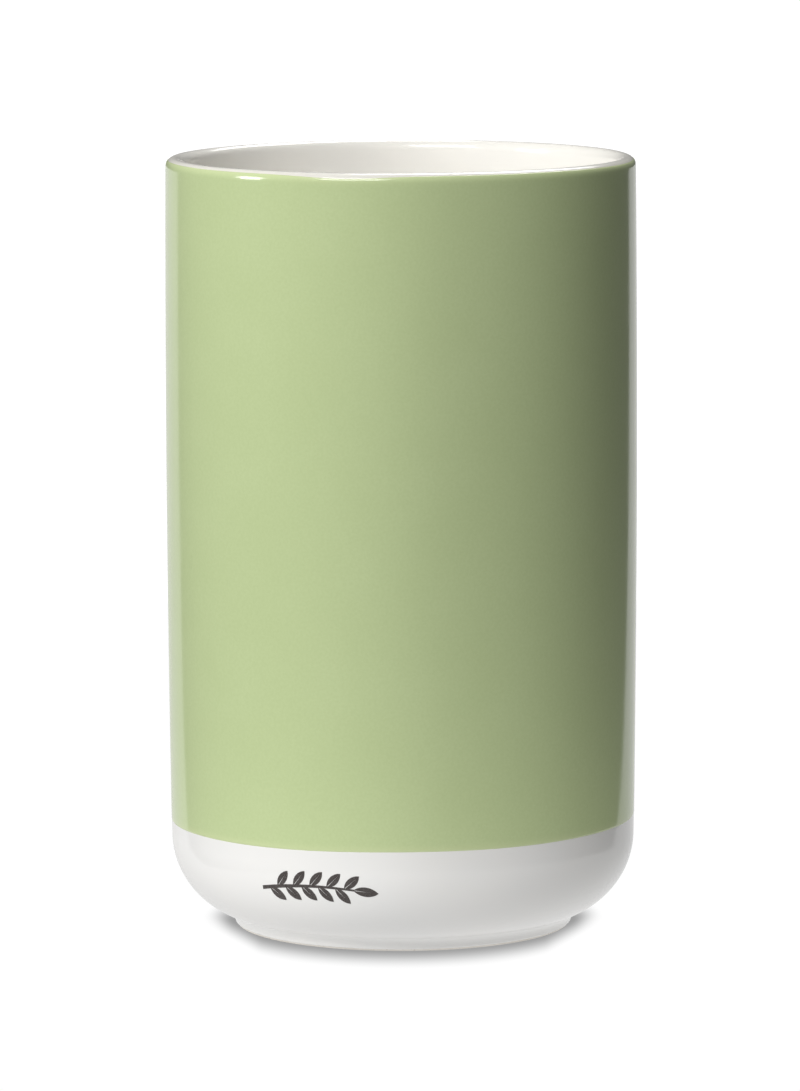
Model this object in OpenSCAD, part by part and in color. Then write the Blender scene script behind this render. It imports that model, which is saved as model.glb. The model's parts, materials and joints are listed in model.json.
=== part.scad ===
// Straight-sided stoneware vase: a thick clay pot with a full-round lip, a soft base rounding and a
// small foot ring, under four coats of glaze and one small leaf-sprig print.
// The pot stands on Z = 0 with its axis on Z, and the print faces -Y.

/* [Body] */
// Height from the foot to the top of the lip
height = 164; // [150:1:190]
// Greatest outside diameter of the glazed wall
body_d = 100; // [97:1:108]
// Thickness of the glazed wall at the lip
wall = 4; // [3.6:0.1:5]
// How much less the pot's radius is at the top of the base rounding than at the lip
narrowing = 0.6; // [0.2:0.1:1]

/* [Base] */
// Radius of the rounding between the wall and the underside
base_round = 18; // [15:0.5:19]
// Height of the underside inside the foot ring, where that rounding ends
base_lift = 1.8; // [1.4:0.1:2.2]
// Outside diameter of the glazed foot ring
foot_d = 72; // [68:1:74]
// Width of the glazed foot ring
foot_w = 3.8; // [3.4:0.1:5]
// Height of the floor inside the vase
floor_z = 7; // [6.6:0.1:9]
// Radius between the floor and the inner wall
floor_round = 12; // [8:0.5:13]

/* [Glaze] */
// Thickness of every coat of glaze
glaze = 0.4; // [0.3:0.05:0.5]
// Height where the white base coat ends and the green coat starts
border_z = 23.2; // [22:0.2:60]
// How much of the lip, measured down from its top, stays white
lip_band = 0.6; // [0.5:0.05:1]
// Height of the bare clay left at the bottom of the foot ring
bare_h = 0.4; // [0.3:0.05:0.8]

/* [Print] */
// Height of the middle of the sprig
print_z = 14.6; // [14:0.1:15]
// Length of the sprig from stem end to leaf tip
print_w = 26; // [20:1:28]
// Number of side leaves
leaves = 10; // [6:2:12]
// Thickness of the fired print
print_t = 0.15; // [0.1:0.01:0.3]

/* [Hidden] */

clay_colour = [0.80, 0.76, 0.70];
green_colour = [0.66, 0.75, 0.51];
white_colour = [0.93, 0.92, 0.89];
print_colour = [0.30, 0.27, 0.25];

// Smoothness of everything that is turned
$fn = 180;
// A length longer than any part of the section
far = 2 * body_d;

// Centres of the circles that turn the lip and the base rounding
inner_r = body_d / 2 - wall;
lip_r = wall / 2;
lip_p = [inner_r + lip_r, height - lip_r];
base_p = [body_d / 2 - narrowing - base_round, base_lift + base_round];
// How far those circles swell past the straight wall between them, so that they cross it cleanly
swell = 0.01;

// The foot ring: its radii, the rounding of its edges, and how far it is let into the underside
foot_r = foot_d / 2;
ring_mid = foot_r - foot_w / 2;
foot_edge = 0.6;
foot_root = 1;

// The sprig's parts as shares of its length, each leaf as [length, width]
side_leaf = [0.17, 0.073] * print_w;
end_leaf = [0.2, 0.08] * print_w;
stem_r = 2.6 * print_w;
// Stem width, how far its arc rises above the sprig's middle, and how far it runs into the end leaf
stem_w = 0.7;
stem_rise = 1;
stem_tuck = 0.3;
// Angle between the stem and a side leaf
leaf_turn = 46;

// Solid outline of the pot without its hollows, drawn in by g so that coats stay concentric
module outside(g) {
    polygon([[0, base_p.y], [base_p.x + base_round - g - swell, base_p.y],
             [lip_p.x + lip_r - g - swell, lip_p.y], [0, lip_p.y]]);
    translate(lip_p) circle(lip_r - g);
    translate(base_p) circle(base_round - g);
    translate([0, base_lift + g]) square([base_p.x, 2 * base_round]);
}

// Section of the foot ring, with its bottom edges rounded
module foot_ring(g) {
    in_r = foot_r - foot_w + g;
    out_r = foot_r - g;
    translate([in_r, foot_edge]) square([out_r - in_r, base_lift + foot_root]);
    translate([in_r + foot_edge, 0]) square([out_r - in_r - 2 * foot_edge, foot_edge]);
    translate([in_r + foot_edge, foot_edge]) circle(foot_edge);
    translate([out_r - foot_edge, foot_edge]) circle(foot_edge);
}

// Section of the inside, from its rounded floor up to where the lip starts to turn, widened by g
module cavity(g) {
    corner_x = inner_r - floor_round;
    corner_z = floor_z + floor_round;
    translate([0, corner_z]) square([inner_r + g, lip_p.y - corner_z]);
    translate([corner_x, corner_z]) circle(floor_round + g);
    translate([0, floor_z - g]) square([corner_x, 2 * floor_round]);
}

// Section of the whole pot with its surface drawn in by g
module pot(g) {
    difference() {
        union() {
            outside(g);
            foot_ring(g);
        }
        cavity(g);
    }
}

// All the glaze in section: what the finished pot has beyond its clay
module coat() {
    difference() {
        pot(0);
        pot(glaze);
    }
}

// One coat, turned: the part of the glaze inside the zone given as its child
module glaze_in() {
    rotate_extrude() intersection() {
        coat();
        children();
    }
}

// Fired clay pot, bare only where the foot ring stands
module stoneware_body() {
    color(clay_colour) rotate_extrude() pot(glaze);
}

// Green coat on the outside, from the border up on to the lip
module green_glaze() {
    color(green_colour) glaze_in()
        translate([lip_p.x, border_z]) square([far, height - lip_band - border_z]);
}

// White coat on the outside, from just above the foot's edge up to the border
module base_glaze() {
    color(white_colour) glaze_in() difference() {
        translate([ring_mid, bare_h]) square([far, border_z - bare_h]);
        cavity(2 * glaze);
    }
}

// White coat inside, up over the top of the lip
module lining_glaze() {
    color(white_colour) glaze_in() {
        cavity(2 * glaze);
        translate([0, lip_p.y]) square([lip_p.x, far]);
        translate([lip_p.x, height - lip_band]) square(far);
    }
}

// White coat in the hollow of the foot ring
module underside_glaze() {
    color(white_colour) glaze_in()
        translate([0, bare_h]) square([ring_mid, 2 * base_lift]);
}

// One leaf from its stalk at the origin to its tip on +X: the lens shared by two circles
module leaf(size) {
    r = (size.x * size.x + size.y * size.y) / (4 * size.y);
    intersection() {
        translate([size.x / 2, r - size.y / 2]) circle(r);
        translate([size.x / 2, size.y / 2 - r]) circle(r);
    }
}

// One leaf growing from the stem at x, turned away from the stem by an angle
module leaf_on_stem(x, turn, size) {
    translate([x, stem_rise - stem_r + sqrt(stem_r * stem_r - x * x)])
        rotate(turn - asin(x / stem_r)) leaf(size);
}

// Sprig in the plane of the page: a curved stem, side leaves in turn above and below, one end leaf
module sprig() {
    start = -print_w / 2;
    stem_end = print_w / 2 - end_leaf.x;
    step = (stem_end - start) / (leaves + 1);
    intersection() {
        translate([0, stem_rise - stem_r]) difference() {
            circle(stem_r + stem_w / 2);
            circle(stem_r - stem_w / 2);
        }
        translate([start, -stem_r]) square([stem_end + stem_tuck - start, 2 * stem_r]);
    }
    for (i = [1 : leaves])
        leaf_on_stem(start + i * step, i % 2 == 0 ? leaf_turn : -leaf_turn, side_leaf);
    leaf_on_stem(stem_end, 0, end_leaf);
}

// Dark sprig printed on the base rounding, following its curve
module sprig_print() {
    color(print_colour) intersection() {
        rotate_extrude() difference() {
            outside(-print_t);
            outside(0);
        }
        translate([0, 0, print_z]) rotate([90, 0, 0]) linear_extrude(body_d) sprig();
    }
}

stoneware_body();
green_glaze();
base_glaze();
lining_glaze();
underside_glaze();
sprig_print();
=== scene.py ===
import json
import math
from bisect import bisect_right

import bmesh
import bpy
from mathutils import Matrix, Vector, geometry, noise


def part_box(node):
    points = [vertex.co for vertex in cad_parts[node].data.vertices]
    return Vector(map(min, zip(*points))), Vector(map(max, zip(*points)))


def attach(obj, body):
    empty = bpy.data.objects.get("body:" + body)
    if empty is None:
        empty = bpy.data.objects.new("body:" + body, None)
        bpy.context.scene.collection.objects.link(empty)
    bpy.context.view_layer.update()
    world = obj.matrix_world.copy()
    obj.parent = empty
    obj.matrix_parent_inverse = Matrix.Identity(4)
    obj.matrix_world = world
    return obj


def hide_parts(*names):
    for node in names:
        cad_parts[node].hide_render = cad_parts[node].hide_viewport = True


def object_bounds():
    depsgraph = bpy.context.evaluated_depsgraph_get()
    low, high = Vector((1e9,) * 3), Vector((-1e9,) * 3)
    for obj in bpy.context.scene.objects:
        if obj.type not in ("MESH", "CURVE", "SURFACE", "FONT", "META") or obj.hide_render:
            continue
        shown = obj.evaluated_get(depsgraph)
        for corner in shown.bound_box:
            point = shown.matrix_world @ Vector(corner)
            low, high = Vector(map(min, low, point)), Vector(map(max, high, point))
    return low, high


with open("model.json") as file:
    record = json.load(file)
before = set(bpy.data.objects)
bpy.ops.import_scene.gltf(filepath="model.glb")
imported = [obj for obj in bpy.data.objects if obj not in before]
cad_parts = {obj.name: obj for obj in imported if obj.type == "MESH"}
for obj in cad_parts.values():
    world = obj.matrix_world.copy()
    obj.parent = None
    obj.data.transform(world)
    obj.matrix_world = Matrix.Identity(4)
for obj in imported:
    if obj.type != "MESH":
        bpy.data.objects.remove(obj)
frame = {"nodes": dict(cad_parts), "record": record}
cad_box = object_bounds()

MM = 0.001
mounts = {mount["name"]: mount for mount in frame["record"]["mounts"]}

# ---------------------------------------------------------------- sizes, in metres
HEIGHT = cad_box[1].z
RADIUS = cad_box[1].x
BORDER_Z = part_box("green_glaze")[0].z
LIP_LINE_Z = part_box("green_glaze")[1].z
BARE_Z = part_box("base_glaze")[0].z
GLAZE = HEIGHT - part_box("stoneware_body")[1].z
FLOOR_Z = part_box("lining_glaze")[0].z + GLAZE
INNER_R = mounts["mouth"]["dims"]["r_mm"] * MM
FOOT_MID_R = mounts["foot"]["pos_m"][0]
PRINT_LOW, PRINT_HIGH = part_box("sprig_print")

# Turned shape of the pot; the two coves are hollow roundings, above the foot and inside it
BASE_ROUND = 18 * MM
BASE_LIFT = 1.8 * MM
FOOT_WIDTH = 3.8 * MM
FOOT_OUT_R = FOOT_MID_R + FOOT_WIDTH / 2
FOOT_EDGE = 0.6 * MM
FOOT_OUT_EDGE = 1.2 * MM
FOOT_COVE = 3.5 * MM
RECESS_COVE = 0.8 * MM
FLOOR_ROUND = 12 * MM
# The wall swells very slightly: a flat arc that is widest at BOW_Z
BOW_Z = 106 * MM
BOW_RADIUS = 6200 * MM

# Unevenness of the fired surface, and how long its waves are round the pot and up it
WAVE = 0.03 * MM
WAVE_LENGTH = 28 * MM
WAVE_LENGTH_UP = 40 * MM

# How far the green coat stands over the white ones, how deep every coat's inner face lies, and how far the
# white coats run on under the green one
GREEN_PROUD = 0.06 * MM
SUNK = 0.45 * MM
TUCK = 0.3 * MM
# How far from its edge a coat starts to roll down, how deep it rolls, and a distance past every edge
EDGE_ROUND = 0.35 * MM
EDGE_DROP = SUNK / 4
NO_EDGE = 1.0
# The dipped border, which rises towards the camera's right, and the wiped edge above the bare clay
BORDER_TILT = 0.0094
BORDER_WAVER = 0.12 * MM
BARE_WAVER = 0.08 * MM
# The line on the lip, which dips at one azimuth where the lip was wiped; the dip's spread is in radians
LIP_WAVER = 0.10 * MM
LIP_RISE = 0.08 * MM
LIP_DIP = 0.45 * MM
LIP_DIP_AZIMUTH = 8.5
LIP_DIP_SPREAD = 0.2
# How far from its edge a coat is thin. Over the lip the lining darkens in that band, partly as painted
# shade
THIN_REACH = 1.6 * MM
LIP_THIN_AND_SHADE_REACH = 4.5 * MM

# Columns of a turned mesh, and the longest step along the section's arcs
COLUMNS = 360
STEP = 0.06 * MM

# The sprig's parts as shares of its width, each leaf as (length, width); then its stem and leaf veins
LEAVES = 10
LEAF_TURN = 46
SIDE_LEAF = (0.17, 0.073)
END_LEAF = (0.2, 0.08)
STEM_RADIUS = 2.6
STEM_HALF = 0.42 * MM
STEM_TAPER = 0.22 * MM
STEM_TUCK = 0.3 * MM
VEIN = 0.16 * MM
VEIN_SHARE = 0.85
STEM_POINTS = 60
LEAF_POINTS = 18
# The print's skin: how far its outer face lies over the glaze and its inner face under it, how far apart
# its inner points are, and the angle in degrees past which an edge of it stays sharp
PRINT_RAISED = 0.04 * MM
PRINT_SUNK = 0.05 * MM
PRINT_GRID = 0.45 * MM
PRINT_CREASE = 40

# Camera, given by how it stands to the vase
CAMERA_AZIMUTH = 21.5
CAMERA_DISTANCE = 1468 * MM
CAMERA_HEIGHT = 273 * MM
CAMERA_FAR = 20
AIM_Z = 81 * MM
AIM_LEFT = 0.41 * MM
CAMERA_ROLL = -0.2
LENS = 229.6

# The seen floor is a white disc with a soft shade at the foot. The shade starts SHADE_INSET inside the
# foot's front. Past SHADE_SHOULDER that start runs back under the base rounding, SHADE_SLOPE times as fast
# as it runs aside. From there it fades over one reach ahead of the vase, one behind it and one beside it,
# and it is over everywhere at SHADE_END_R.
FLOOR_REACH = 0.5
FLOOR_LEVEL = 1.01
SHADE_LEAST = 0.33
SHADE_AHEAD = 23.4 * MM
SHADE_BEHIND = 18 * MM
SHADE_BESIDE = 8 * MM
SHADE_INSET = 3 * MM
SHADE_SHOULDER = 30 * MM
SHADE_SLOPE = 2.75
SHADE_END_R = FOOT_OUT_R + 1.2 * SHADE_AHEAD
SHADE_RINGS = 60
SHADE_SIDES = 180
# The paper sweep that lights the vase from below, as half-widths: (metres behind it, metres to the side)
PAPER_LEVEL = 0.8
SWEEP_RIGHT = ((-0.13, 0.04), (-0.08, 0.11), (0, 0.13), (0.05, 0.13), (4, 2.4))
SWEEP_LEFT = ((-0.13, 0.04), (-0.07, 0.07), (0, 0.085), (0.05, 0.12), (4, 3.3))
# The height that the softboxes aim at, the backdrop's brightness, and the surround's light on the vase
LIGHT_AIM_Z = 80 * MM
BACKDROP_LEVEL = 1.1
SURROUND_LEVEL = 0.13


def facing(azimuth):
    """Level unit vector from the vase's axis towards an azimuth; 0 is -Y and 90 is +X."""
    turn = math.radians(azimuth)
    return Vector((math.sin(turn), -math.cos(turn), 0))


camera_side = facing(CAMERA_AZIMUTH)
camera_right = facing(CAMERA_AZIMUTH + 90)


def add_object(name, data):
    """A new object in the scene."""
    thing = bpy.data.objects.new(name, data)
    bpy.context.scene.collection.objects.link(thing)
    return thing


# ---------------------------------------------------------------- section of the pot
def arc(centre, radius, start, end):
    """Points (r, z) on an arc about a centre, from one angle to another; 0 is +r and 90 is +z."""
    count = max(6, round(math.radians(abs(end - start)) * radius / STEP))
    turns = [math.radians(start + (end - start) * i / count) for i in range(count + 1)]
    return [(centre[0] + radius * math.cos(t), centre[1] + radius * math.sin(t)) for t in turns]


def line(start, end):
    """Points (r, z) from one point to another, without the ends."""
    count = max(2, round(math.dist(start, end) / (4 * STEP)))
    return [
        (start[0] + (end[0] - start[0]) * i / count, start[1] + (end[1] - start[1]) * i / count)
        for i in range(1, count)
    ]


def wall_r(z):
    """Radius of the slightly bowed wall at a height."""
    return RADIUS - WAVE - GREEN_PROUD - (z - BOW_Z) ** 2 / (2 * BOW_RADIUS)


def touching(first, first_span, second, second_span):
    """The place at those distances from two others, on the left of the way from first to second."""
    span = math.dist(first, second)
    ahead = (first_span**2 - second_span**2 + span**2) / (2 * span)
    aside = math.sqrt(first_span**2 - ahead**2)
    r, z = (second[0] - first[0]) / span, (second[1] - first[1]) / span
    return first[0] + ahead * r - aside * z, first[1] + ahead * z + aside * r


def bearing(start, end):
    """Angle in degrees of the way from one place (r, z) to another."""
    return math.degrees(math.atan2(end[1] - start[1], end[0] - start[0]))


def outline():
    """The whole glazed outline in one run, from under the pot, round the foot, up, over and in."""
    foot_in = FOOT_MID_R - FOOT_WIDTH / 2
    foot = (FOOT_OUT_R - FOOT_OUT_EDGE, FOOT_OUT_EDGE)
    base_z = BASE_LIFT + BASE_ROUND
    base = (wall_r(base_z) - BASE_ROUND, base_z)
    cove = touching(base, BASE_ROUND + FOOT_COVE, foot, FOOT_OUT_EDGE + FOOT_COVE)
    foot_turn = bearing(foot, cove)
    base_turn = bearing(base, cove)
    lip = (wall_r(HEIGHT) - INNER_R) / 2
    lip_z = HEIGHT - WAVE - lip
    corner = (INNER_R - FLOOR_ROUND, FLOOR_Z + FLOOR_ROUND)
    recess = (foot_in - RECESS_COVE, BASE_LIFT - RECESS_COVE)
    return (
        [(0, BASE_LIFT)]
        + line((0, BASE_LIFT), (recess[0], BASE_LIFT))
        + arc(recess, RECESS_COVE, 90, 0)
        + arc((foot_in + FOOT_EDGE, FOOT_EDGE), FOOT_EDGE, 180, 270)
        + line((foot_in + FOOT_EDGE, 0), (foot[0], 0))
        + arc(foot, FOOT_OUT_EDGE, -90, foot_turn)
        + arc(cove, FOOT_COVE, 180 + foot_turn, 180 + base_turn)
        + arc(base, BASE_ROUND, base_turn, 0)
        + [(wall_r(z), z) for _, z in line((0, base_z), (0, lip_z))]
        + arc((INNER_R + lip, lip_z), lip, 0, 180)
        + line((INNER_R, lip_z), (INNER_R, corner[1]))
        + arc(corner, FLOOR_ROUND, 360, 270)
        + line((corner[0], FLOOR_Z), (0, FLOOR_Z))
        + [(0, FLOOR_Z)]
    )


class Skin:
    """The outline by distance along it: a place, and the direction that points out of the pot."""

    def __init__(self, points):
        kept = [points[0]]
        for point in points[1:]:
            if math.dist(point, kept[-1]) > STEP / 10:
                kept.append(point)
        self.points = kept
        self.along = [0]
        for a, b in zip(kept, kept[1:]):
            self.along.append(self.along[-1] + math.dist(a, b))
        self.length = self.along[-1]

    def index(self, s):
        """Number of the last point that isn't past a distance along the outline, and isn't its end."""
        return min(max(bisect_right(self.along, s) - 1, 0), len(self.along) - 2)

    def at(self, s):
        """Place (r, z) at a distance along the outline."""
        s = min(max(s, 0), self.length)
        i = self.index(s)
        share = (s - self.along[i]) / (self.along[i + 1] - self.along[i])
        (r0, z0), (r1, z1) = self.points[i], self.points[i + 1]
        return r0 + (r1 - r0) * share, z0 + (z1 - z0) * share

    def out(self, s):
        """Unit direction (r, z) out of the pot there."""
        r0, z0 = self.at(s - STEP)
        r1, z1 = self.at(s + STEP)
        span = math.dist((r0, z0), (r1, z1))
        return (z1 - z0) / span, -(r1 - r0) / span

    def find(self, test):
        """Distance along the outline of the first point that passes a test."""
        return next(s for s, p in zip(self.along, self.points) if test(p))

    def up_to(self, z, above):
        """Distance along the outline, after one distance, where the outside reaches a height."""
        i = self.index(above)
        while self.points[i + 1][1] < z:
            i += 1
        (_, z0), (_, z1) = self.points[i], self.points[i + 1]
        share = (z - z0) / (z1 - z0)
        return self.along[i] + (self.along[i + 1] - self.along[i]) * share


skin = Skin(outline())
FOOT_S = skin.find(lambda p: p[1] <= 0 and p[0] > FOOT_MID_R)
FOOT_INNER_S = skin.find(lambda p: p[1] <= BARE_Z)


def spot(s, theta, lift):
    """Point at a distance along the outline and an angle round the pot, lifted off the skin."""
    r, z = skin.at(s)
    out_r, out_z = skin.out(s)
    r += lift * out_r
    return r * math.cos(theta), r * math.sin(theta), z + lift * out_z


def wave(s, theta, seed):
    """Unevenness of the surface at a place on the skin, along its outward direction."""
    r, z = skin.at(s)
    across = r / WAVE_LENGTH
    place = Vector((across * math.cos(theta), across * math.sin(theta), z / WAVE_LENGTH_UP + seed))
    return WAVE * noise.noise(place)


def waver(theta, seed, swings):
    """Smooth random value, about -1 to 1, that comes and goes swings times round the pot and joins up."""
    radius = swings / (2 * math.pi)
    return 2 * noise.noise(Vector((radius * math.cos(theta), radius * math.sin(theta), seed)))


def level_side(theta):
    """Level distance of the wall at an angle towards the camera's right, in metres."""
    return RADIUS * (math.cos(theta) * camera_right.x + math.sin(theta) * camera_right.y)


def border_s(theta):
    """Where the green coat starts: a dipped edge, a little tilted and a little wavy."""
    z = BORDER_Z + BORDER_TILT * level_side(theta)
    return skin.up_to(z + BORDER_WAVER * waver(theta, seed=3.1, swings=9), FOOT_S)


def lip_s(theta):
    """Where the green coat ends on the lip: it dips on one side, where the lip was wiped."""
    away = math.remainder(theta - math.radians(LIP_DIP_AZIMUTH - 90), 2 * math.pi)
    z = LIP_LINE_Z + LIP_RISE - LIP_DIP * math.exp(-((away / LIP_DIP_SPREAD) ** 2))
    return skin.up_to(z + LIP_WAVER * waver(theta, seed=7.7, swings=11), FOOT_S)


def bare_s(theta):
    """Where the white base coat starts, wiped back from the foot's edge."""
    return skin.up_to(BARE_Z + BARE_WAVER * waver(theta, seed=5.3, swings=14), FOOT_S)


# ---------------------------------------------------------------- meshes
def crowded(count):
    """Shares from 0 to 1 that crowd towards both ends, where coats turn over their edges."""
    return [0.5 - 0.5 * math.cos(math.pi * i / count) for i in range(count + 1)]


def closed_mesh(name, verts, faces, thin=None):
    """A smooth closed mesh object; thin is a value for each vertex that the material reads."""
    mesh = bpy.data.meshes.new(name)
    mesh.from_pydata(verts, [], faces)
    if thin is not None:
        attribute = mesh.attributes.new("thin", "FLOAT", "POINT")
        attribute.data.foreach_set("value", thin)
    shape = bmesh.new()
    shape.from_mesh(mesh)
    bmesh.ops.remove_doubles(shape, verts=shape.verts, dist=0.001 * MM)
    stray = [edge for edge in shape.edges if not edge.link_faces]
    bmesh.ops.delete(shape, geom=stray, context="EDGES")
    bmesh.ops.recalc_face_normals(shape, faces=shape.faces)
    for face in shape.faces:
        face.smooth = True
    shape.to_mesh(mesh)
    shape.free()
    return add_object(name, mesh)


def turned_coat(
    name, start, end, rows, proud=0.0, rounded=(True, True), thin_reach=THIN_REACH, seed=0.0
):
    """A coat of glaze: the skin from start(theta) to end(theta), turned, with a sunk inner face.

    rounded says whether its start and its end roll over an edge; an end at the axis doesn't.
    """
    shares = crowded(rows)
    inner_shares = crowded(max(4, rows // 6))[::-1]
    verts, thin = [], []
    for column in range(COLUMNS):
        theta = 2 * math.pi * column / COLUMNS
        s0, s1 = start(theta), end(theta)
        for share in shares:
            s = s0 + (s1 - s0) * share
            from_start = s - s0 if rounded[0] else NO_EDGE
            from_end = s1 - s if rounded[1] else NO_EDGE
            to_edge = min(from_start, from_end)
            part = min(max(to_edge / EDGE_ROUND, 0), 1)
            rise = (proud + EDGE_DROP) * math.sqrt(1 - (1 - part) ** 2) - EDGE_DROP
            verts.append(spot(s, theta, min(rise + wave(s, theta, seed), proud + WAVE)))
            thin.append(max(0, 1 - to_edge / thin_reach))
        for share in inner_shares:
            verts.append(spot(s0 + (s1 - s0) * share, theta, -SUNK))
            thin.append(0)
    ring = len(shares) + len(inner_shares)
    faces = []
    for column in range(COLUMNS):
        here, there = column * ring, (column + 1) % COLUMNS * ring
        for row in range(ring):
            after = (row + 1) % ring
            faces.append((here + row, there + row, there + after, here + after))
    return closed_mesh(name, verts, faces, thin)


def leaf_halves(base, turn, length, width):
    """Both halves of a leaf, parted along a vein that narrows and closes before the tip."""
    radius = (length**2 + width**2) / (4 * width)
    vein_end = VEIN_SHARE * length
    halves = []
    for side in (1, -1):
        rim, middle = [], []
        for i in range(LEAF_POINTS + 1):
            x = length * i / LEAF_POINTS
            swell = math.sqrt(radius**2 - (x - length / 2) ** 2) - radius + width / 2
            gap = min(VEIN / 2 * max(0, 1 - x / vein_end), swell)
            rim.append(Vector((x, side * swell)))
            middle.append(Vector((x, side * gap)))
        loop = rim + middle[-2:0:-1]
        turned = [base + Matrix.Rotation(turn, 2) @ point for point in loop]
        halves.append(turned if side < 0 else turned[::-1])
    return halves


def sprig_outlines():
    """Polygons of the sprig in its own plane: a tapered stem, leaves in turn, and an end leaf."""
    width = PRINT_HIGH.x - PRINT_LOW.x
    stem_radius = STEM_RADIUS * width
    start = -width / 2
    stem_end = width / 2 - END_LEAF[0] * width
    step = (stem_end - start) / (LEAVES + 1)

    def stem_y(x):
        return math.sqrt(stem_radius**2 - x**2) - stem_radius

    def leaf_on_stem(x, turn, size):
        base = Vector((x, stem_y(x)))
        slope = math.asin(x / stem_radius)
        return leaf_halves(base, math.radians(turn) - slope, size[0] * width, size[1] * width)

    upper, lower = [], []
    for i in range(STEM_POINTS + 1):
        x = start + (stem_end + STEM_TUCK - start) * i / STEM_POINTS
        half = STEM_HALF - STEM_TAPER * i / STEM_POINTS
        upper.append(Vector((x, stem_y(x) + half)))
        lower.append(Vector((x, stem_y(x) - half)))
    shapes = [lower + upper[::-1]]
    for i in range(1, LEAVES + 1):
        turn = LEAF_TURN if i % 2 == 0 else -LEAF_TURN
        shapes += leaf_on_stem(start + i * step, turn, SIDE_LEAF)
    return shapes + leaf_on_stem(stem_end, 0, END_LEAF)


def filled(shapes):
    """Polygons cut into small triangles: their corners in millimetres, and three numbers a face."""
    points = [point for shape in shapes for point in shape]
    low = Vector((min(p.x for p in points), min(p.y for p in points)))
    high = Vector((max(p.x for p in points), max(p.y for p in points)))
    loops, first = [], 0
    for shape in shapes:
        loops.append(list(range(first, first + len(shape))))
        first += len(shape)
    for i in range(int((high.x - low.x) / PRINT_GRID)):
        for j in range(int((high.y - low.y) / PRINT_GRID)):
            points.append(low + PRINT_GRID * Vector((i + 0.5, j + 0.5 + 0.25 * (i % 2))))
    flat = [point / MM for point in points]
    inside_only, merge_span, with_sources = 1, 1e-4, True
    corners, _, cut, _, _, sources = geometry.delaunay_2d_cdt(
        flat, [], loops, inside_only, merge_span, with_sources
    )
    kept = [face for face, source in zip(cut, sources) if source]
    used = sorted({i for face in kept for i in face})
    number = {old: new for new, old in enumerate(used)}
    return [corners[i] for i in used], [tuple(number[i] for i in face) for face in kept]


def printed_sprig():
    """The sprig as a thin closed skin that follows the base rounding."""
    shapes = sprig_outlines()
    heights = [point.y for shape in shapes for point in shape]
    rise = (PRINT_LOW.z + PRINT_HIGH.z) / 2 - (min(heights) + max(heights)) / 2
    corners, faces = filled(shapes)
    verts = []
    for lift in (PRINT_RAISED, -PRINT_SUNK):
        for corner in corners:
            x = corner.x * MM
            s = skin.up_to(corner.y * MM + rise, FOOT_S)
            r, _ = skin.at(s)
            theta = math.atan2(-math.sqrt(r * r - x * x), x)
            verts.append(spot(s, theta, lift + wave(s, theta, seed=0.0)))
    count = len(corners)
    edges = [(a, b) for face in faces for a, b in zip(face, face[1:] + face[:1])]
    inner = set(edges)
    skirt = [(b, a, a + count, b + count) for a, b in edges if (b, a) not in inner]
    back = [tuple(i + count for i in reversed(face)) for face in faces]
    piece = closed_mesh("leaf_print", verts, faces + back + skirt)
    piece.data.set_sharp_from_angle(angle=math.radians(PRINT_CREASE))
    return piece


# ---------------------------------------------------------------- materials
class Finish:
    """One material's node tree, with short calls for the nodes that it needs."""

    def __init__(self, name, **sockets):
        self.material = bpy.data.materials.new(name)
        self.material.use_nodes = True
        self.tree = self.material.node_tree
        self.surface = self.tree.nodes["Principled BSDF"]
        for socket, value in sockets.items():
            self.surface.inputs[socket.replace("_", " ")].default_value = value
        self.place = self.add("ShaderNodeTexCoord").outputs["Object"]

    def add(self, kind, **settings):
        node = self.tree.nodes.new(kind)
        for key, value in settings.items():
            setattr(node, key, value)
        return node

    def link(self, source, target):
        self.tree.links.new(source, target)

    def drive(self, socket, source):
        """A socket of the surface follows another node's output."""
        self.link(source, self.surface.inputs[socket])

    def noise(self, size, detail):
        """Noise from 0 to 1 whose blotches are about size metres across."""
        texture = self.add("ShaderNodeTexNoise")
        texture.inputs["Scale"].default_value = 1 / size
        texture.inputs["Detail"].default_value = detail
        self.link(self.place, texture.inputs["Vector"])
        return texture.outputs["Fac"]

    def attribute(self, name):
        """A value that is stored on the mesh's points."""
        return self.add("ShaderNodeAttribute", attribute_name=name).outputs["Fac"]

    def spread(self, source, old, new):
        """A value moved from one range to another, and held inside it."""
        node = self.add("ShaderNodeMapRange")
        for socket, value in zip(node.inputs[1:5], (*old, *new)):
            socket.default_value = value
        self.link(source, node.inputs["Value"])
        return node.outputs["Result"]

    def mix(self, factor, first, second):
        """One colour over another by a factor; a colour is a triple or another node's output."""
        node = self.add("ShaderNodeMix", data_type="RGBA")
        self.link(factor, node.inputs["Factor"])
        # A Mix node holds a pair of sockets for each kind of data; the colours are these
        for socket, colour in zip((node.inputs[6], node.inputs[7]), (first, second)):
            if isinstance(colour, tuple):
                socket.default_value = (*colour, 1)
            else:
                self.link(colour, socket)
        return node.outputs[2]

    def bump(self, height, distance, under=None):
        """Relief of that height in metres; under is a coarser relief that it lies on."""
        node = self.add("ShaderNodeBump")
        node.inputs["Distance"].default_value = distance
        self.link(height, node.inputs["Height"])
        if under is not None:
            self.link(under, node.inputs["Normal"])
        return node.outputs["Normal"]


GREEN = (0.556, 0.655, 0.352)
GREEN_DEEP = (0.541, 0.640, 0.338)
GREEN_GRAIN = (0.450, 0.550, 0.270)
GREEN_THIN = (0.640, 0.710, 0.400)
WHITE = (0.873, 0.862, 0.836)
WHITE_COOL = (0.855, 0.851, 0.834)
LINING = (0.905, 0.885, 0.834)
LINING_COOL = (0.882, 0.866, 0.822)
# Colour at a white coat's thin edge: clay through thin glaze, and on the lining's lip painted shade as
# well
THIN_GLAZE_AND_SHADE = (0.600, 0.570, 0.490)
IRON_FLECK = (0.550, 0.500, 0.420)
CLAY = (0.740, 0.700, 0.630)
CLAY_PALE = (0.790, 0.755, 0.690)
CLAY_SPECK = (0.420, 0.350, 0.280)
PRINT = (0.060, 0.050, 0.047)
PRINT_WORN = (0.110, 0.098, 0.092)

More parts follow.
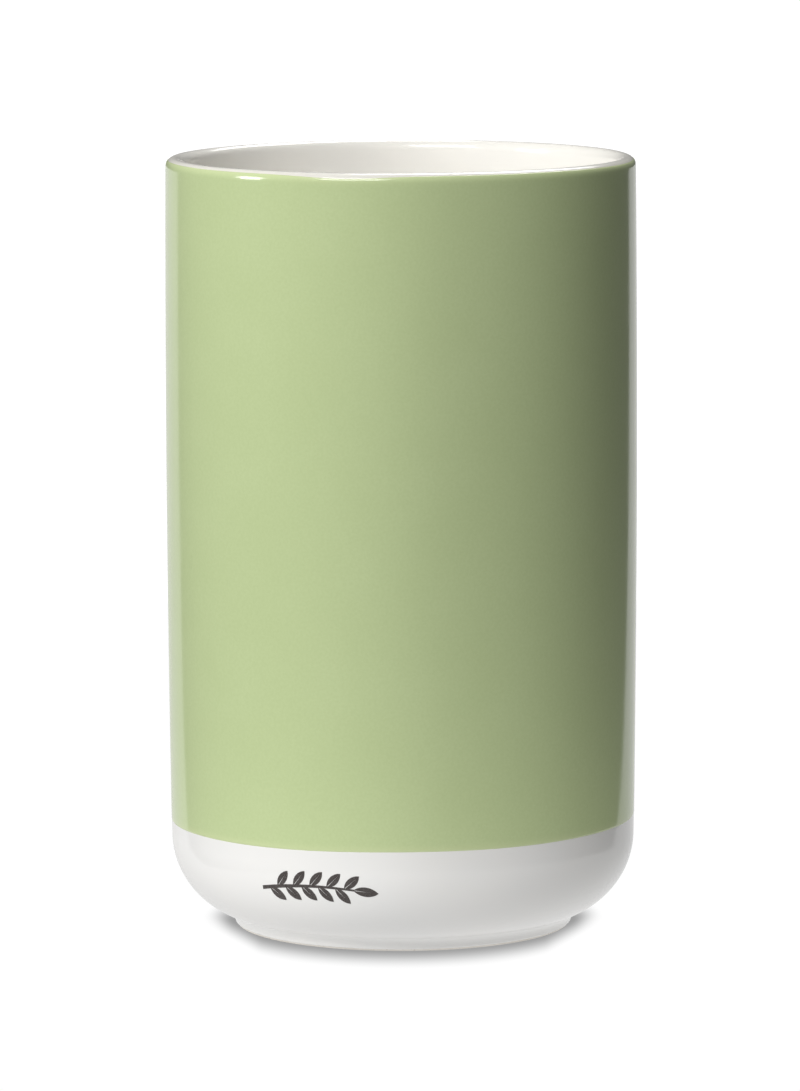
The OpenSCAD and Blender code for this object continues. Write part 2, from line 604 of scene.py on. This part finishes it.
# Roughness of each surface from its glossiest to its dullest clouds, and the height of its relief
GREEN_GLOSS = (0.10, 0.14)
WHITE_GLOSS = (0.12, 0.16)
PRINT_GLOSS = (0.22, 0.38)
ROLLING = 0.005 * MM
GREEN_PEEL = 0.0006 * MM
WHITE_PEEL = 0.0001 * MM
CLAY_GRAIN = 0.03 * MM
PRINT_GRAIN = 0.002 * MM

# The range that nearly all of a noise's values lie in
CLOUDY = (0.3, 0.7)


def glaze_surface(finish, gloss, peel):
    """What every glaze shares: a gloss that varies a little, and the soft relief of fired glass."""
    finish.drive("Roughness", finish.spread(finish.noise(9 * MM, detail=2), CLOUDY, gloss))
    rolling = finish.bump(finish.noise(7 * MM, detail=1), ROLLING)
    finish.drive("Normal", finish.bump(finish.noise(0.9 * MM, detail=2), peel, rolling))


def green_glaze():
    """Sage green gloss glaze: faint clouds and fine specks, lighter where it thins at its edges."""
    finish = Finish("green_glaze", IOR=1.5)
    clouds = finish.spread(finish.noise(14 * MM, detail=4), CLOUDY, (0, 1))
    colour = finish.mix(clouds, GREEN, GREEN_DEEP)
    grain = finish.spread(finish.noise(0.6 * MM, detail=3), (0.35, 0.65), (0, 0.2))
    colour = finish.mix(grain, colour, GREEN_GRAIN)
    thin = finish.spread(finish.attribute("thin"), (0, 1), (0, 0.6))
    finish.drive("Base Color", finish.mix(thin, colour, GREEN_THIN))
    glaze_surface(finish, GREEN_GLOSS, GREEN_PEEL)
    return finish.material


def white_glaze(name, warm, cool, thin_and_shade_shift):
    """Warm white gloss glaze with a few cooler clouds and the odd tiny iron fleck.

    thin_and_shade_shift says how far the coat darkens at its edge: partly the clay showing through where
    it thins, partly painted shade on the brightly lit top of the lip.
    """
    finish = Finish(name, IOR=1.5)
    clouds = finish.spread(finish.noise(16 * MM, detail=4), CLOUDY, (0, 1))
    colour = finish.mix(clouds, warm, cool)
    thin = finish.spread(finish.attribute("thin"), (0, 1), (0, thin_and_shade_shift))
    # Darker at the coat's edge: partly thin glaze, partly painted shade on the lining's lit lip top
    colour = finish.mix(thin, colour, THIN_GLAZE_AND_SHADE)
    flecks = finish.spread(finish.noise(0.5 * MM, detail=2), (0.76, 0.82), (0, 0.35))
    finish.drive("Base Color", finish.mix(flecks, colour, IRON_FLECK))
    glaze_surface(finish, WHITE_GLOSS, WHITE_PEEL)
    return finish.material


def bare_clay():
    """Unglazed fired stoneware: matt, pale buff, with brown specks and a sandy grain."""
    finish = Finish("bare_clay", IOR=1.45, Roughness=0.85)
    clouds = finish.spread(finish.noise(5 * MM, detail=5), CLOUDY, (0, 1))
    colour = finish.mix(clouds, CLAY, CLAY_PALE)
    specks = finish.spread(finish.noise(0.45 * MM, detail=2), (0.66, 0.72), (0, 0.8))
    finish.drive("Base Color", finish.mix(specks, colour, CLAY_SPECK))
    finish.drive("Normal", finish.bump(finish.noise(0.3 * MM, detail=4), CLAY_GRAIN))
    return finish.material


def fired_print():
    """Dark ink fired on to the glaze: satin, a little uneven in its depth."""
    finish = Finish("fired_print", IOR=1.45)
    worn = finish.spread(finish.noise(0.35 * MM, detail=3), (0.5, 0.75), (0, 1))
    finish.drive("Base Color", finish.mix(worn, PRINT, PRINT_WORN))
    finish.drive("Roughness", finish.spread(finish.noise(1.2 * MM, detail=2), CLOUDY, PRINT_GLOSS))
    finish.drive("Normal", finish.bump(finish.noise(0.25 * MM, detail=2), PRINT_GRAIN))
    return finish.material


# ---------------------------------------------------------------- the vase
def stand_for(node, piece, material):
    """The piece replaces a CAD node, which it hides, rides with the pot, and gets a material."""
    piece.data.materials.append(material)
    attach(piece, "root")
    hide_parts(node)


def build_vase():
    """The four coats and the print over the CAD clay pot."""
    white = white_glaze("white_glaze", WHITE, WHITE_COOL, thin_and_shade_shift=0)
    # The lining's lip band is darkened partly as painted shade over its lit top
    lining_white = white_glaze("lining_glaze", LINING, LINING_COOL, thin_and_shade_shift=0.5)

    def under_border(theta):
        return border_s(theta) + TUCK

    def over_lip(theta):
        return lip_s(theta) - TUCK

    def inside_middle(theta):
        return skin.length

    def underside_middle(theta):
        return 0

    def foot_inner(theta):
        return FOOT_INNER_S

    wall_coat = turned_coat("green_coat", border_s, lip_s, rows=110, proud=GREEN_PROUD)
    stand_for("green_glaze", wall_coat, green_glaze())
    base_coat = turned_coat("base_coat", bare_s, under_border, rows=110)
    stand_for("base_glaze", base_coat, white)
    lining = turned_coat(
        "lining_coat", over_lip, inside_middle, rows=120,
        rounded=(True, False), thin_reach=LIP_THIN_AND_SHADE_REACH, seed=4.0,
    )
    stand_for("lining_glaze", lining, lining_white)
    underside = turned_coat(
        "underside_coat", underside_middle, foot_inner, rows=40, rounded=(False, True)
    )
    stand_for("underside_glaze", underside, white)
    stand_for("sprig_print", printed_sprig(), fired_print())

    clay = frame["nodes"]["stoneware_body"]
    clay.data.materials.clear()
    clay.data.materials.append(bare_clay())


# ---------------------------------------------------------------- floor, light and camera
def lit_paper(name, level):
    """White paper that is lit evenly: it glows."""
    return Finish(
        name, Roughness=1.0, Specular_IOR_Level=0, Base_Color=(0, 0, 0, 1),
        Emission_Color=(1, 1, 1, 1), Emission_Strength=level,
    )


def fading(share):
    """Depth of the floor's shade at a share of its reach: from 1 down to 0."""
    share = min(max(share, 0), 1)
    return 1 - share * share * (3 - 2 * share)


def floor_shade(place):
    """Brightness of the seen floor there, from SHADE_LEAST at the foot to 1."""
    across = abs(place.dot(camera_right))
    ahead = place.dot(camera_side)
    start = math.sqrt(FOOT_OUT_R**2 - min(across, SHADE_SHOULDER) ** 2)
    start -= SHADE_INSET + SHADE_SLOPE * max(across - SHADE_SHOULDER, 0)
    behind = min(ahead, 0)
    span = max(math.hypot(across, behind), MM)
    reach = SHADE_BESIDE + (SHADE_BEHIND - SHADE_BESIDE) * (behind / span) ** 2
    depth = fading((ahead - start) / SHADE_AHEAD) * fading((span - FOOT_OUT_R) / reach)
    return 1 - (1 - SHADE_LEAST) * depth


def build_seen_floor():
    """A disc that only the camera sees, with the shade round the foot stored on its points."""
    reach = SHADE_END_R - FOOT_OUT_R
    radii = [MM] + [FOOT_OUT_R - MM + reach * i / SHADE_RINGS for i in range(SHADE_RINGS)]
    radii.append(FLOOR_REACH)
    sides = [facing(360 * i / SHADE_SIDES) for i in range(SHADE_SIDES)]
    places = [side * radius for radius in radii for side in sides]
    faces = [tuple(range(SHADE_SIDES))]
    for ring in range(len(radii) - 1):
        for i in range(SHADE_SIDES):
            here = ring * SHADE_SIDES + i
            after = ring * SHADE_SIDES + (i + 1) % SHADE_SIDES
            faces.append((here, here + SHADE_SIDES, after + SHADE_SIDES, after))
    mesh = bpy.data.meshes.new("floor_seen")
    mesh.from_pydata(places, [], faces)
    shade = mesh.attributes.new("shade", "FLOAT", "POINT")
    shade.data.foreach_set("value", [floor_shade(place) for place in places])
    finish = lit_paper("pale_floor", FLOOR_LEVEL)
    finish.drive("Emission Color", finish.mix(finish.attribute("shade"), (0, 0, 0), (1, 1, 1)))
    mesh.materials.append(finish.material)
    seen = add_object("floor_seen", mesh)
    seen.visible_diffuse = False
    seen.visible_glossy = False
    seen.visible_transmission = False
    seen.visible_shadow = False


def build_sweep():
    """Paper just under the seen floor, which lights the vase from below and the camera doesn't see."""
    right = [camera_right * side - camera_side * back for back, side in SWEEP_RIGHT]
    left = [-camera_right * side - camera_side * back for back, side in reversed(SWEEP_LEFT)]
    corners = [place - Vector((0, 0, MM)) for place in right + left]
    mesh = bpy.data.meshes.new("floor_paper")
    mesh.from_pydata(corners, [], [tuple(range(len(corners)))])
    mesh.materials.append(lit_paper("paper", PAPER_LEVEL).material)
    sweep = add_object("floor_paper", mesh)
    sweep.visible_camera = False


def softbox(name, azimuth, elevation, distance, size, watts):
    """A softbox aimed at the vase; azimuth is counted from the camera, plus is its right."""
    level = facing(CAMERA_AZIMUTH + azimuth)
    rise = math.radians(elevation)
    aim = Vector((0, 0, LIGHT_AIM_Z))
    data = bpy.data.lights.new(name, "AREA")
    data.shape = "RECTANGLE"
    data.size, data.size_y = size
    data.energy = watts
    lamp = add_object(name, data)
    lamp.location = aim + distance * (level * math.cos(rise) + Vector((0, 0, math.sin(rise))))
    lamp.rotation_mode = "QUATERNION"
    lamp.rotation_quaternion = (aim - lamp.location).to_track_quat("-Z", "Y")
    lamp.visible_camera = False


def build_light():
    """Three softboxes, in front, at the left and behind, in a pale surround that looks white."""
    softbox("front_box", azimuth=-26, elevation=40, distance=1.5, size=(0.75, 0.7), watts=17.5)
    softbox("side_box", azimuth=-78, elevation=15, distance=1.5, size=(0.35, 0.45), watts=8.2)
    softbox("back_box", azimuth=165, elevation=50, distance=1.2, size=(0.6, 0.6), watts=8)
    world = bpy.data.worlds.new("surround")
    bpy.context.scene.world = world
    world.use_nodes = True
    nodes, links = world.node_tree.nodes, world.node_tree.links
    seen = nodes["Background"]
    dim = nodes.new("ShaderNodeBackground")
    for backdrop, level in ((seen, BACKDROP_LEVEL), (dim, SURROUND_LEVEL)):
        backdrop.inputs["Color"].default_value = (1, 1, 1, 1)
        backdrop.inputs["Strength"].default_value = level
    rays = nodes.new("ShaderNodeLightPath")
    choice = nodes.new("ShaderNodeMixShader")
    links.new(rays.outputs["Is Camera Ray"], choice.inputs["Fac"])
    links.new(dim.outputs["Background"], choice.inputs[1])
    links.new(seen.outputs["Background"], choice.inputs[2])
    links.new(choice.outputs["Shader"], nodes["World Output"].inputs["Surface"])


def build_camera():
    """A long lens a little above the vase, with everything in focus."""
    data = bpy.data.cameras.new("camera")
    data.lens = LENS
    data.clip_end = CAMERA_FAR
    camera = add_object("camera", data)
    camera.location = camera_side * CAMERA_DISTANCE + Vector((0, 0, CAMERA_HEIGHT))
    aim = Vector((0, 0, AIM_Z)) - camera_right * AIM_LEFT
    look = (aim - camera.location).to_track_quat("-Z", "Y").to_matrix()
    roll = Matrix.Rotation(math.radians(CAMERA_ROLL), 3, "Z")
    camera.rotation_euler = (look @ roll).to_euler()
    bpy.context.scene.camera = camera


bpy.context.scene.view_settings.view_transform = "Standard"
build_camera()
build_vase()
build_seen_floor()
build_sweep()
build_light()
